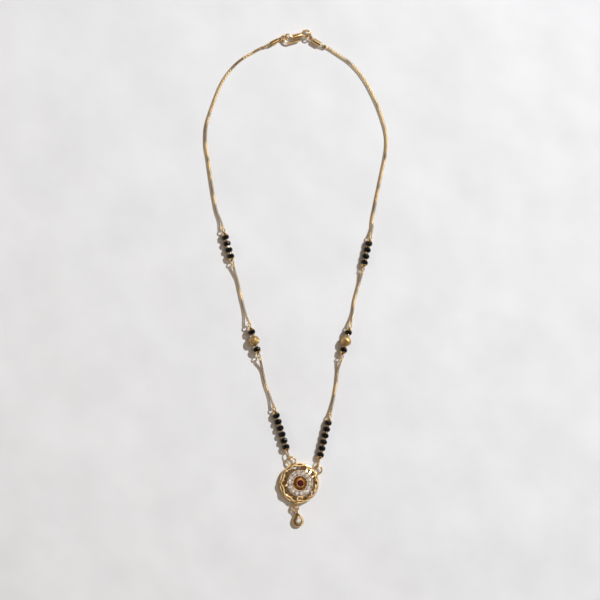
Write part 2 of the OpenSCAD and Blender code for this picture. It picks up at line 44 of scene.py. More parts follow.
def toward(turn):
    """A step of length 1 over the table, at a turn in degrees from +X."""
    a = math.radians(turn)
    return Vector((math.cos(a), math.sin(a), 0))


def flat(p, z):
    """A point over the X and Y of p, at height z."""
    return Vector((p[0], p[1], z))


def stand(p, turn):
    """The place of a form whose origin goes to p and whose X turns by some degrees."""
    return Matrix.Translation(p) @ Matrix.Rotation(math.radians(turn), 4, "Z")


def turns(count, start=0.0):
    """Equal turns about Z, the first one moved on by a share of one."""
    return [Matrix.Rotation(2 * math.pi * (k + start) / count, 4, "Z") for k in range(count)]


# A quarter turn about X, which stands a flat ring up
UPRIGHT = Matrix.Rotation(math.pi / 2, 4, "X")


# Sizes in millimetres, the same as the part's own
BEAD_D, BEAD_LEN, BEAD_FACETS, HOLE_D = 3.4, 2.2, 12, 0.85
GOLD_LEN, GOLD_D, GOLD_GROOVES = 4.5, 4.8, 8
SPACER_LEN, CAP_LEN, PIN_D, EYE_R, STEM, GAP = 0.65, 0.8, 0.6, 0.95, 0.3, 0.08
LONG_EYE, CHAIN_W, LEAD = 2.0, 1.4, 3.0
SPACER_D, CAP_D = 2.0, 2.6
AXIS_Z, GOLD_Z, CHAIN_Z = BEAD_D / 2, GOLD_D / 2, CHAIN_W / 2
END_CAP_LEN, END_CAP_DEPTH, CAP_EYE_R = 3.8, 1.4, 0.75
HOOK_AT, HOOK_TURN, HOOK_WIRE, HOOK_BALL = Vector((0, 111.5, 0)), 15.5, 0.95, 1.25
WRAP_WIRE, WRAP_TURNS = 0.85, 4.5
PENDANT_AT, PENDANT_TURN, PENDANT_D = (0.8, -93.85), -18, 18.4
BAND_H, BAND_WALL, LOBES, RIM_R, RIM_WAVE, RIM_W = 2.0, 0.6, 10, 8.2, 0.33, 0.7
SETTING_R, SETTING_TOP, STONES, STONE_D, STONE_RING_R = 6.15, 4.05, 14, 2.0, 4.72
RUBY_D, RUBY_RISE, RIBS = 2.8, 0.5, 12
LOOP_D, LOOP_WIRE, LOOP_SINK, LOOP_TURN = 4.5, 0.85, 0.35, 37.5
BAIL_R, BAIL_TURN, BAIL_OUT = 1.5, 189, 0.2
DROP_RING_R, DROP_RING_WIRE, DROP_RING_CLEAR, DROP_RING_TURN = 1.45, 0.75, 0.35, -62
DROP_W, DROP_LEN, DROP_H, DROP_TURN = 5.3, 7.0, 2.4, -81
DROP_STONE_W, DROP_STONE_LEN, DROP_EYE_R, DROP_EYE_WIRE = 2.3, 3.0, 0.95, 0.65

# What only the look has: grains, the bevel of a cut bead, and how finely wires and curves are drawn
CAP_GRAINS, CAP_GRAIN_R, SETTING_GRAIN_R, BEAD_BEVEL = 9, 0.21, 0.2, 0.09
WIRE_SIDES, CURVE_STEPS, ROUND_STEPS = 14, 10, 160
# Edges look sharp past these angles: on cut pieces, on the pendant and drop, on turned and drawn ones
CUT_EDGE, CAST_EDGE, TURNED_EDGE = 35, 50, 60


def from_hook(x, y, turn, r):
    """A jump ring's centre, direction and radius, from the hook's own X and Y."""
    p = HOOK_AT + x * toward(HOOK_TURN) + y * toward(HOOK_TURN + 90)
    return p.x, p.y, turn + HOOK_TURN, r


# The jump ring at each side of the clasp, and the direction of the end cap that hangs on it
CLASP_SIDES = {
    "left": (from_hook(-6.6, 0.5, -7.5, 1.7), 12.5 + HOOK_TURN),
    "right": (from_hook(5.4, -1.5, 118.5, 1.45), 134.5 + HOOK_TURN),
}


# Meshes


class Shape:
    """Points in millimetres and faces, gathered from several simple forms."""

    def __init__(self):
        self.points, self.faces = [], []

    def add(self, points, faces, place=Matrix.Identity(4)):
        start = len(self.points)
        self.points += [place @ p for p in points]
        self.faces += [tuple(start + i for i in f) for f in faces]
        return self


def into_scene(name, data):
    """A new object that holds the data."""
    obj = bpy.data.objects.new(name, data)
    bpy.context.scene.collection.objects.link(obj)
    return obj


def mesh_of(name, points, edges, faces):
    """A mesh in metres from points in millimetres."""
    mesh = bpy.data.meshes.new(name)
    mesh.from_pydata([p * MM for p in points], edges, faces)
    mesh.update()
    return mesh


def piece(name, shape, metal, node, angle):
    """A visible piece that stands for a CAD node. Edges past the angle look sharp."""
    mesh = mesh_of(name, shape.points, [], shape.faces)
    mesh.materials.append(metal)
    mesh.shade_smooth()
    mesh.set_sharp_from_angle(angle=math.radians(angle))
    obj = into_scene(name, mesh)
    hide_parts(node)
    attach(obj, "root")
    return obj


def around(steps):
    """The angles of one full turn."""
    return [2 * math.pi * k / steps for k in range(steps)]


def circle(r, z, steps):
    """Points of a ring round Z at one height."""
    return [Vector((r * math.cos(a), r * math.sin(a), z)) for a in around(steps)]


def bands(rows, n, closed=False, flip=False):
    """Faces between neighbouring rows, where each row is a ring of n points."""
    faces = []
    for i in range(rows if closed else rows - 1):
        for k in range(n):
            a, b = i * n + k, i * n + (k + 1) % n
            c, d = (a + n) % (rows * n), (b + n) % (rows * n)
            faces.append((a, c, d, b) if flip else (a, b, d, c))
    return faces


def lids(rows, n):
    """A face over the first row and one over the last."""
    return [tuple(reversed(range(n))), tuple(range((rows - 1) * n, rows * n))]


def curve_points(p, steps):
    """A smooth curve through chosen points, with a few steps from each to the next."""
    out = []
    for i in range(len(p) - 1):
        a, b, c, d = p[max(i - 1, 0)], p[i], p[i + 1], p[min(i + 2, len(p) - 1)]
        for k in range(steps):
            t = k / steps
            out.append(0.5 * (2 * b + (c - a) * t + (2 * a - 5 * b + 4 * c - d) * t * t
                              + (3 * b - a - 3 * c + d) * t * t * t))
    return out + [p[-1]]


def tube(path, radii, sides, closed=False):
    """A round wire along a path, turned as little as possible on the way."""
    n = len(path)
    tangents = []
    for i in range(n):
        a = path[i - 1] if closed else path[max(i - 1, 0)]
        b = path[(i + 1) % n] if closed else path[min(i + 1, n - 1)]
        tangents.append((b - a).normalized())
    steep = abs(tangents[0].z) >= 0.8
    side = tangents[0].cross(Vector((1, 0, 0)) if steep else Vector((0, 0, 1))).normalized()
    points = []
    for middle, r, t in zip(path, radii, tangents):
        side = (side - t * side.dot(t)).normalized()
        over = t.cross(side)
        points += [middle + r * (math.cos(a) * side + math.sin(a) * over) for a in around(sides)]
    return points, bands(n, sides, closed) + ([] if closed else lids(n, sides))


def ring(r, wire, steps):
    """A ring of round wire that lies flat. Its radius goes to the middle of the wire."""
    return tube(circle(r, 0, steps), [wire / 2] * steps, WIRE_SIDES, closed=True)


def lathe(outline, steps, wave=lambda a: 0):
    """A closed outline of radius and height, turned round Z. A wave carries it out and in."""
    points = []
    for a in around(steps):
        out = Vector((math.cos(a), math.sin(a)))
        points += [flat((wave(a) + r) * out, z) for r, z in outline]
    return points, bands(steps, len(outline), closed=True, flip=True)


def rounded(outline, r, steps, keep=()):
    """Corners of a closed outline, rounded by about r, or by less where a side is short."""
    share, tiny = 0.45, 1e-4
    out, n = [], len(outline)
    for i, p in enumerate(outline):
        p = Vector(p)
        a, b = Vector(outline[i - 1]) - p, Vector(outline[(i + 1) % n]) - p
        cut = min(r, a.length * share, b.length * share)
        if i in keep or cut < tiny:
            out.append(tuple(p))
            continue
        a, b = p + a.normalized() * cut, p + b.normalized() * cut
        for k in range(steps + 1):
            t = k / steps
            out.append(tuple(a * (1 - t) ** 2 + p * 2 * t * (1 - t) + b * t * t))
    return out


def ball(r, steps=12):
    """A small grain, closed at each pole by one point."""
    rows = steps // 2 - 1
    points = [Vector((0, 0, -r))]
    for i in range(rows):
        e = math.pi * ((i + 1) / (rows + 1) - 0.5)
        points += circle(r * math.cos(e), r * math.sin(e), steps)
    points.append(Vector((0, 0, r)))
    faces = [tuple(1 + i for i in f) for f in bands(rows, steps)]
    last, top = 1 + (rows - 1) * steps, len(points) - 1
    for k in range(steps):
        after = (k + 1) % steps
        faces += [(0, 1 + after, 1 + k), (last + k, last + after, top)]
    return points, faces


def loft(rows):
    """A closed skin over outlines that lie one above the other."""
    n = len(rows[0])
    return [p for row in rows for p in row], bands(len(rows), n) + lids(len(rows), n)


def softened(points, faces, width):
    """The same form with every edge rounded a little, so that it catches the light."""
    form = bmesh.new()
    corners = [form.verts.new(p) for p in points]
    for f in faces:
        form.faces.new([corners[i] for i in f])
    bmesh.ops.bevel(form, geom=form.edges[:], offset=width, segments=2, profile=0.6, affect="EDGES")
    form.verts.index_update()
    out = [v.co.copy() for v in form.verts], [tuple(v.index for v in f.verts) for f in form.faces]
    form.free()
    return out


# Materials

# Most of a noise lies between these two values, so tone and polish go from end to end there
NOISE_LOW, NOISE_HIGH = 0.3, 0.7


class Look:
    """A material drawn by nodes. Its patterns lie in the object's own coordinates."""

    def __init__(self, name):
        self.material = bpy.data.materials.new(name)
        self.material.use_nodes = True
        self.nodes, self.links = self.material.node_tree.nodes, self.material.node_tree.links
        self.nodes.clear()
        self.body = self.nodes.new("ShaderNodeBsdfPrincipled")
        self.place = self.nodes.new("ShaderNodeTexCoord")
        out = self.nodes.new("ShaderNodeOutputMaterial")
        self.links.new(self.body.outputs["BSDF"], out.inputs["Surface"])

    def set(self, node, **values):
        """Constants on the sockets of a node; a socket's name has _ for its spaces here."""
        for name, value in values.items():
            node.inputs[name.replace("_", " ")].default_value = value

    def noise(self, scale, detail, rough=0.5):
        t = self.nodes.new("ShaderNodeTexNoise")
        self.set(t, Scale=scale, Detail=detail, Roughness=rough)
        self.links.new(self.place.outputs["Object"], t.inputs["Vector"])
        return t.outputs["Fac"]

    def roughness(self, value, low, high):
        """Roughness that follows a noise from low to high."""
        r = self.nodes.new("ShaderNodeMapRange")
        self.set(r, From_Min=NOISE_LOW, From_Max=NOISE_HIGH, To_Min=low, To_Max=high)
        self.links.new(value, r.inputs["Value"])
        self.links.new(r.outputs["Result"], self.body.inputs["Roughness"])

    def colour(self, value, deep, pale):
        """Base colour that follows a noise from deep to pale."""
        ramp = self.nodes.new("ShaderNodeValToRGB")
        stops = zip(ramp.color_ramp.elements, (NOISE_LOW, NOISE_HIGH), (deep, pale))
        for stop, position, tone in stops:
            stop.position, stop.color = position, (*tone, 1)
        self.links.new(value, ramp.inputs["Fac"])
        self.links.new(ramp.outputs["Color"], self.body.inputs["Base Color"])

    def bump(self, value, depth, under=None):
        b = self.nodes.new("ShaderNodeBump")
        self.set(b, Strength=1.0, Distance=depth)
        self.links.new(value, b.inputs["Height"])
        if under:
            self.links.new(under.outputs["Normal"], b.inputs["Normal"])
        self.links.new(b.outputs["Normal"], self.body.inputs["Normal"])
        return b


def gold(name, pale, deep, rough, grain=2600, depth=0.000006):
    """Plated gold: tone drifts over a millimetre, polish is uneven and finely scratched."""
    look = Look(name)
    look.colour(look.noise(700, 2), deep, pale)
    look.set(look.body, Metallic=1.0)
    fine = look.noise(grain, 4, 0.6)
    look.roughness(fine, *rough)
    look.bump(fine, depth)
    return look.material


def black_glass(name):
    """Cut black glass: nearly black, with a faint brown depth and a film of dust."""
    look = Look(name)
    look.colour(look.noise(500, 3), (0.0015, 0.0012, 0.001), (0.006, 0.004, 0.003))
    look.set(look.body, IOR=1.5, Specular_IOR_Level=0.2)
    look.roughness(look.noise(5200, 5, 0.7), 0.03, 0.14)
    return look.material


def gem(name, pale, deep, ior, see_through, rough, shine=0.5):
    """A cut stone: light goes in through the table, and the colour thickens unevenly."""
    look = Look(name)
    depth = look.noise(1400, 3)
    look.colour(depth, deep, pale)
    look.set(look.body, IOR=ior, Transmission_Weight=see_through, Specular_IOR_Level=shine)
    look.roughness(depth, rough, rough * 3)
    return look.material


def cloth(name):
    """Pale cloth: wide soft folds under a fine weave."""
    look = Look(name)
    look.colour(look.noise(34, 3), (0.785, 0.785, 0.80), (0.845, 0.845, 0.86))
    look.set(look.body, Roughness=0.85)
    folds = look.bump(look.noise(22, 2, 0.45), 0.0016)
    look.bump(look.noise(1500, 4, 0.6), 0.00003, folds)
    return look.material


bright_gold = gold("bright_gold", (0.97, 0.77, 0.43), (0.64, 0.39, 0.15), (0.05, 0.16))
chain_gold = gold("chain_gold", (1.0, 0.82, 0.48), (0.80, 0.54, 0.23), (0.10, 0.24), 3800)
# Dark gold for the inside of the links: painted shade in their hollows
shaded_link_inside = gold("painted_shade_in_links", (0.20, 0.10, 0.03), (0.06, 0.03, 0.01), (0.3, 0.5), 3800)
bead_gold = gold("bead_gold", (0.78, 0.57, 0.27), (0.42, 0.25, 0.09), (0.38, 0.55), 1500, 0.00005)
# Brown gold for the dish's skin: painted shade in the hollow between the stones and the bezel
shaded_dish_gold = gold("shaded_dish_gold", (0.72, 0.44, 0.22), (0.34, 0.16, 0.07), (0.2, 0.4))
white_metal = gold("white_metal", (0.93, 0.87, 0.79), (0.70, 0.62, 0.54), (0.12, 0.28), 3000)
black = black_glass("black_glass")
ruby = gem("ruby_red", (0.16, 0.0, 0.004), (0.03, 0.0, 0.001), 1.45, 0.3, 0.05, 0.02)
clear = gem("clear_stone", (1.0, 0.93, 0.85), (0.88, 0.74, 0.62), 1.8, 0.64, 0.015)
pale_stone = gem("pear_stone", (1.0, 0.96, 0.93), (0.95, 0.87, 0.84), 1.8, 0.4, 0.015)


# The strings of beads and the routes of the chains

FOUR = ["cap"] + ["bead", "spacer"] * 3 + ["bead", "cap"]
SIX = ["cap"] + ["bead", "spacer"] * 5 + ["bead", "cap"]
WITH_GOLD = ["cap", "bead", "spacer", "gold", "spacer", "bead", "cap"]
LENGTH_OF = {"bead": BEAD_LEN, "gold": GOLD_LEN, "spacer": SPACER_LEN, "cap": CAP_LEN}


def string_length(threaded):
    """Length of all that is threaded, with a gap between each two."""
    return sum(LENGTH_OF[k] for k in threaded) + GAP * (len(threaded) - 1)


def reach(threaded):
    """From the middle of a string to the far side of its eye."""
    return string_length(threaded) / 2 + STEM + 2 * EYE_R + PIN_D / 2


def on_pendant(turn, r):
    """A point at a radius on the pendant, its turn in degrees from the pendant's top."""
    return flat(PENDANT_AT, AXIS_Z) + r * toward(90 + PENDANT_TURN + turn)


LOOP_R = (LOOP_D - LOOP_WIRE) / 2
LOOP_FROM_MIDDLE = PENDANT_D / 2 + LOOP_R - LOOP_SINK


def lowest_string(loop_turn, turn, aside):
    """The string whose long eye holds a loop, its line a little beside the loop's middle."""
    along = math.sqrt(LOOP_R ** 2 - aside ** 2) + LONG_EYE + EYE_R + STEM + string_length(SIX) / 2
    at = on_pendant(loop_turn, LOOP_FROM_MIDDLE) - along * toward(turn) - aside * toward(turn + 90)
    return (at.x, at.y, turn, SIX, AXIS_Z)


# Each string: X and Y of its middle, its turn, what is threaded on it, and its height
STRINGS = {
    "left_upper": (-32.4, 14.2, -74.2, FOUR, AXIS_Z),
    "left_middle": (-20.3, -28.7, -72.7, WITH_GOLD, GOLD_Z),
    "left_lower": lowest_string(LOOP_TURN, -72.5, 0.5),
    "right_upper": (32.6, 11.9, -103.3, FOUR, AXIS_Z),
    "right_middle": (22.7, -28.8, -105.3, WITH_GOLD, GOLD_Z),
    "right_lower": lowest_string(-LOOP_TURN, -104, 0.5),
}

# Points that each chain passes on its way to the string of the same name
ROUTES = {
    "left_upper": [(-16.5, 106), (-20, 104), (-23.5, 102), (-27, 99.5), (-30.5, 96), (-33.5, 92),
                   (-36, 87.5), (-38, 82.5), (-40, 77), (-41.5, 72.5), (-42.5, 67.5), (-42.5, 60.5),
                   (-41.5, 54.5), (-40.5, 47.5), (-39.5, 41), (-38.5, 35.5), (-37.5, 30.5)],
    "left_middle": [(-28, -0.5), (-27, -4.5), (-26, -9), (-25, -13)],
    "left_lower": [(-16, -43), (-15, -47.5), (-13.5, -52)],
    "right_upper": [(13, 107.5), (16.5, 105.5), (20.5, 103), (25, 100), (29.5, 95.5), (33, 90.5),
                    (36, 85), (38.5, 79.5), (40.5, 74), (42, 68.5), (42.5, 62.5), (41.5, 55.5),
                    (40, 48.5), (38.5, 41.5), (37, 34.5), (35.5, 27)],
    "right_middle": [(29, -3), (28, -6.5), (27, -10.5), (26.5, -14)],
    "right_lower": [(19, -43.5), (18.5, -48.5), (17.5, -54)],
}
STRING_ABOVE = {"middle": "upper", "lower": "middle"}


def string_end(name, side, beyond):
    """A point on a string's line, beyond the middle of the far wire of its eye."""
    x, y, turn, threaded, z = STRINGS[name]
    return Vector((x, y, z)) + side * (reach(threaded) - PIN_D / 2 + beyond) * toward(turn)


def cap_mouth(ring_at, turn):
    """The end of an end cap that takes the chain, from the ring that its eye hangs on."""
    eye = flat(ring_at, AXIS_Z) - ring_at[3] * toward(ring_at[2])
    return eye - (CAP_EYE_R + STEM + END_CAP_LEN) * toward(turn)


def after_lead(p, turn):
    """Where a chain has come after its straight lead, by then near the table."""
    fallen = 0.7
    return p + LEAD * toward(turn) - Vector((0, 0, fallen * (p.z - CHAIN_Z)))


# Chain

# A link of box chain: its length, width, bar and depth, and the way from one link to the next
LINK_LEN, LINK_W, LINK_BAR, LINK_DEPTH, PITCH = 1.14, 1.22, 0.21, 0.48, 0.72
# A link has eight corners and eight bands of faces. These bands are its inside
LINK_CORNERS, INNER_BANDS = 8, (3, 4, 5)
# How far the chain rolls to and fro along its way, in radians
SWAY = 0.9
# A small oval ring joins the chain to the eye of each string
OVAL_LEN, OVAL_W, OVAL_WIRE = 1.7, 1.0, 0.38
OVAL_BEYOND, LINKS_BEYOND = 0.2, 1.05


def link_form():
    """One square link of flat bars with its corners cut, lying in the XY plane, along X."""
    depth, edge = LINK_DEPTH / 2, 0.05
    outer = (LINK_LEN / 2, LINK_W / 2, 0.22)
    inner = (LINK_LEN / 2 - LINK_BAR, LINK_W / 2 - LINK_BAR, 0.1)
    rows = [(outer, edge - depth, 0), (outer, depth - edge, 0), (outer, depth, edge),
            (inner, depth, -edge), (inner, depth - edge, 0), (inner, edge - depth, 0),
            (inner, -depth, -edge), (outer, -depth, edge)]
    points = []
    for (a, b, cut), z, shrink in rows:
        a, b = a - shrink, b - shrink
        corners = ((a, cut - b), (a, b - cut), (a - cut, b), (cut - a, b),
                   (-a, b - cut), (-a, cut - b), (cut - a, -b), (a - cut, -b))
        points += [flat(p, z) for p in corners]
    return points, bands(len(rows), LINK_CORNERS, closed=True)


def links_tree():
    """Copies of one link along a route, each turned by a step from the last, with a slow sway."""
    tree = bpy.data.node_groups.new("links_along_route", "GeometryNodeTree")
    for name, way, kind in (
            ("Geometry", "INPUT", "Geometry"), ("Link", "INPUT", "Object"), ("Pitch", "INPUT", "Float"),
            ("Step", "INPUT", "Float"), ("Sway", "INPUT", "Float"), ("Metal", "INPUT", "Material"),
            ("Geometry", "OUTPUT", "Geometry")):
        tree.interface.new_socket(name, in_out=way, socket_type="NodeSocket" + kind)
    new = tree.nodes.new
    given, out = new("NodeGroupInput"), new("NodeGroupOutput")
    to_curve, steps = new("GeometryNodeMeshToCurve"), new("GeometryNodeResampleCurve")
    steps.mode = "LENGTH"
    tangent, index = new("GeometryNodeInputTangent"), new("GeometryNodeInputIndex")
    align = new("FunctionNodeAlignRotationToVector")
    align.axis = "X"
    # A slow wander about zero, which rolls the chain to and fro
    wander = new("ShaderNodeTexNoise")
    wander.noise_dimensions = "1D"
    wander.inputs["Scale"].default_value = 0.06
    wander.inputs["Detail"].default_value = 2.0
    step, centre, sway = new("ShaderNodeMath"), new("ShaderNodeMath"), new("ShaderNodeMath")
    step.operation, centre.operation, sway.operation = "MULTIPLY", "SUBTRACT", "MULTIPLY_ADD"
    centre.inputs[1].default_value = 0.5
    about_x, turned = new("FunctionNodeAxisAngleToRotation"), new("FunctionNodeRotateRotation")
    about_x.inputs["Axis"].default_value = (1, 0, 0)
    turned.rotation_space = "LOCAL"
    info, copies = new("GeometryNodeObjectInfo"), new("GeometryNodeInstanceOnPoints")
    real, dressed = new("GeometryNodeRealizeInstances"), new("GeometryNodeSetMaterial")
    for source, output, target, socket in (
            (given, "Geometry", to_curve, "Mesh"),
            (to_curve, "Curve", steps, "Curve"),
            (given, "Pitch", steps, "Length"),
            (steps, "Curve", copies, "Points"),
            (tangent, "Tangent", align, "Vector"),
            (index, "Index", step, 0),
            (given, "Step", step, 1),
            (index, "Index", wander, "W"),
            (wander, "Fac", centre, 0),
            (centre, "Value", sway, 0),
            (given, "Sway", sway, 1),
            (step, "Value", sway, 2),
            (sway, "Value", about_x, "Angle"),
            (align, "Rotation", turned, "Rotation"),
            (about_x, "Rotation", turned, "Rotate By"),
            (turned, "Rotation", copies, "Rotation"),
            (given, "Link", info, "Object"),
            (info, "Geometry", copies, "Instance"),
            (copies, "Instances", real, "Geometry"),
            (real, "Geometry", dressed, "Geometry"),
            (given, "Metal", dressed, "Material"),
            (dressed, "Geometry", out, "Geometry")):
        tree.links.new(source.outputs[output], target.inputs[socket])
    return tree


def links_on(path, tree, link):
    """The links along one path, as plain points and faces in millimetres."""
    steps = [(i, i + 1) for i in range(len(path) - 1)]
    route = into_scene("route", mesh_of("route", path, steps, []))
    modifier = route.modifiers.new("links", "NODES")
    modifier.node_group = tree
    quarter_turn = math.pi / 2
    values = {"Link": link, "Pitch": PITCH * MM, "Step": quarter_turn, "Sway": SWAY,
              "Metal": chain_gold}
    for item in tree.interface.items_tree:
        if item.in_out == "INPUT" and item.name in values:
            modifier[item.identifier] = values[item.name]
    bpy.context.view_layer.update()
    graph = bpy.context.evaluated_depsgraph_get()
    mesh = bpy.data.meshes.new_from_object(route.evaluated_get(graph))
    points = [v.co / MM for v in mesh.vertices]
    faces = [tuple(p.vertices) for p in mesh.polygons]
    route.modifiers.remove(modifier)
    bpy.data.objects.remove(route)
    bpy.data.meshes.remove(mesh)
    return points, faces


def oval_form():
    """An oval ring that lies flat, its near bar in an eye and its far bar in the chain."""
    half, r, tiny = (OVAL_LEN - OVAL_W) / 2, OVAL_W / 2, 1e-6
    path = []
    for p in circle(r, 0, 28):
        side = (p.x > tiny) - (p.x < -tiny)
        path.append(p + Vector((side * half, 0, 0)))
    return tube(path, [OVAL_WIRE / 2] * len(path), 10, closed=True)


def build_chains():
    """The links of all six chains, with the oval rings at their ends."""
    link_points, link_faces = link_form()
    link = into_scene("link", mesh_of("link", link_points, [], link_faces))
    tree = links_tree()
    for name, points in ROUTES.items():
        strand, part = name.split("_")
        turn, shape, inside = STRINGS[name][2], Shape(), []
        if part == "upper":
            # The chain starts in the mouth of an end cap
            ring_at, cap_turn = CLASP_SIDES[strand]
            start, start_turn = cap_mouth(ring_at, cap_turn), cap_turn + 180
            inside.append(start + (END_CAP_DEPTH - GAP - LINK_LEN / 2) * toward(cap_turn))
        else:
            # It starts at an oval ring in the eye of the string above
            above = f"{strand}_{STRING_ABOVE[part]}"
            start, start_turn = string_end(above, 1, LINKS_BEYOND), STRINGS[above][2]
            shape.add(*oval_form(), stand(string_end(above, 1, OVAL_BEYOND), start_turn))
        end = string_end(name, -1, LINKS_BEYOND)
        shape.add(*oval_form(), stand(string_end(name, -1, OVAL_BEYOND), turn))
        path = inside + [start, after_lead(start, start_turn)]
        path += [flat(p, CHAIN_Z) for p in points]
        path = curve_points(path + [after_lead(end, turn + 180), end], CURVE_STEPS)
        for p in path:
            p.z = max(p.z, CHAIN_Z)
        # The links lie flat and stand upright in turn, and none reaches under the table
        rings_end = len(shape.faces)
        shape.add(*links_on(path, tree, link))
        for p in shape.points:
            p.z = max(p.z, 0.0)
        chain = piece(name + "_links", shape, chain_gold, name + "_chain", CUT_EDGE)
        # The inside of each link is painted dark: painted shade in the link's hollow, where little
        # light reaches
        chain.data.materials.append(shaded_link_inside)
        for face in chain.data.polygons[rings_end:]:
            band = (face.index - rings_end) % len(link_faces) // LINK_CORNERS
            face.material_index = int(band in INNER_BANDS)
    bpy.data.objects.remove(link)


# Beads

# Rows of a cut bead: share of its half length, share of its radius, turn in facets
BEAD_ROWS = [(-1, 0.64, 0), (-0.66, 0.9, 0.5), (-0.16, 1.0, 0),
             (0.16, 1.0, 0), (0.66, 0.9, 0.5), (1, 0.64, 0)]


def cut_bead(roll):
    """A faceted bead along Z with its hole, each facet flat."""
    hole, n = HOLE_D / BEAD_D, BEAD_FACETS
    rows = BEAD_ROWS + [(1, hole, 0), (-1, hole, 0)]
    points, faces = [], []
    for h, r, turn in rows:
        for k in range(n):
            a = 2 * math.pi * (k + turn + roll) / n
            out = Vector((r * math.cos(a), r * math.sin(a), 0)) * BEAD_D / 2
            points.append(out + Vector((0, 0, h * BEAD_LEN / 2)))
    for i, (a, b, d, c) in enumerate(bands(len(rows), n, closed=True)):
        turn, after = rows[i // n][2], rows[(i // n + 1) % len(rows)][2]
        if after > turn:
            faces += [(a, b, c), (c, b, d)]
        elif after < turn:
            faces += [(a, b, d), (a, d, c)]
        else:
            faces.append((a, b, d, c))
    return points, faces


def engraved_bead():
    """The gold bead along Z: an oval body with curved grooves, finer cuts between, and its hole."""
    rows, steps, end = 30, 120, 0.06
    fullness, lean = 0.86, 0.45
    # Depths are shares of the radius. The cuts lie half way between the grooves
    groove_depth, groove_w, cut_depth, cut_w, between = 0.11, 0.42, 0.05, 0.25, 1.57
    end_z = GOLD_LEN / 2 * math.cos(math.pi * end)
    points = circle(HOLE_D / 2, -end_z, steps)
    for i in range(rows + 1):
        e = math.pi * (end + (1 - 2 * end) * i / rows)
        for a in around(steps):
            wave = GOLD_GROOVES / 2 * (a + lean * math.sin(e * 2))
            groove = max(0.0, 1 - abs(math.sin(wave)) / groove_w) * math.sin(e)
            cut = max(0.0, 1 - abs(math.sin(wave + between)) / cut_w) * math.sin(e) ** 4
            r = GOLD_D / 2 * math.sin(e) ** fullness * (1 - groove_depth * groove - cut_depth * cut)
            points.append(Vector((r * math.cos(a), r * math.sin(a), -math.cos(e) * GOLD_LEN / 2)))
    points += circle(HOLE_D / 2, end_z, steps)
    return points, bands(rows + 3, steps, closed=True)


def spacer_form():
    """A spacer along Z, turned with a full round edge."""
    r, half = SPACER_D / 2, SPACER_LEN / 2
    outline = [(HOLE_D / 2, -half), (r, -half), (r, half), (HOLE_D / 2, half)]
    return lathe(rounded(outline, 0.27, 5, keep=(0, 3)), 40)


def crown(shape, place):
    """A bead cap along Z: its skirt reaches over the end of the bead and carries a row of grains."""
    r, half = CAP_D / 2, CAP_LEN / 2
    outline = [(HOLE_D / 2, -half), (r * 0.64, -half), (r * 0.84, 0), (r + 0.1, half),
               (r + 0.3, half + 0.3), (r + 0.22, half + 0.36), (r - 0.12, half), (HOLE_D / 2, half)]
    shape.add(*lathe(rounded(outline, 0.04, 2, keep=(0, 7)), 48), place)
    grain_at = Matrix.Translation((r + 0.14, 0, half + 0.16))
    for turn in turns(CAP_GRAINS):
        shape.add(*ball(CAP_GRAIN_R, 7), place @ turn @ grain_at)


def build_beads():
    """Cut beads and gold beads, and the spacers and caps of each string."""
    for name, (x, y, turn, threaded, z) in STRINGS.items():
        place = stand((x, y, z), turn) @ Matrix.Rotation(math.pi / 2, 4, "Y")
        along, number, spacers = -string_length(threaded) / 2, 0, Shape()
        for kind in threaded:
            middle = place @ Matrix.Translation((0, 0, along + LENGTH_OF[kind] / 2))
            if kind == "spacer":
                spacers.add(*spacer_form(), middle)
            elif kind == "cap":
                crown(spacers, middle if number == 0 else middle @ Matrix.Rotation(math.pi, 4, "X"))
            elif kind == "bead":
                number += 1
                node = f"{name}_bead_{number}"
                # Each bead lies rolled a little on from the one before
                form = softened(*cut_bead(0.37 * number + 0.1 * z), BEAD_BEVEL)
                piece("cut_" + node, Shape().add(*form, middle), black, node, CUT_EDGE)
            else:
                node = name.split("_")[0] + "_gold_bead"
                shape = Shape().add(*engraved_bead(), middle)
                piece("engraved_" + node, shape, bead_gold, node, TURNED_EDGE)
            along += LENGTH_OF[kind] + GAP
        node = name + "_spacers"
        piece("turned_" + node, spacers, bright_gold, node, TURNED_EDGE)


# Clasp

# Points of the hook's wire, from the hook's own X and Y
HOOK_PATH = [
    (0.6, -2.1), (-1.2, -2.15), (-2.9, -2.2), (-4.4, -2.15), (-5.7, -1.5), (-6.45, 0), (-5.7, 1.5),
    (-4.4, 1.95), (-3.3, 1.4), (-2.6, 0.3), (-1.9, 0), (0, 0), (1.9, 0), (2.6, -0.25), (3.4, -1.1),
    (4.5, -1.55), (5.7, -1.1), (6.25, 0), (5.7, 1.05), (4.6, 1.5), (3.8, 1.45)]


def swollen_end(end, before, r, ball_r, steps):
    """Points and radii of a ball at the end of a wire that comes from the point before."""
    # The ball stops a degree short of its pole, where a lid closes it
    out, swell, pole = (end - before).normalized(), math.acos(r / ball_r), math.radians(89)
    rows = [-swell + (swell + pole) * (k + 1) / steps for k in range(steps)]
    points = [end + ball_r * (math.sin(swell) + math.sin(a)) * out for a in rows]
    return points, [ball_r * math.cos(a) for a in rows]


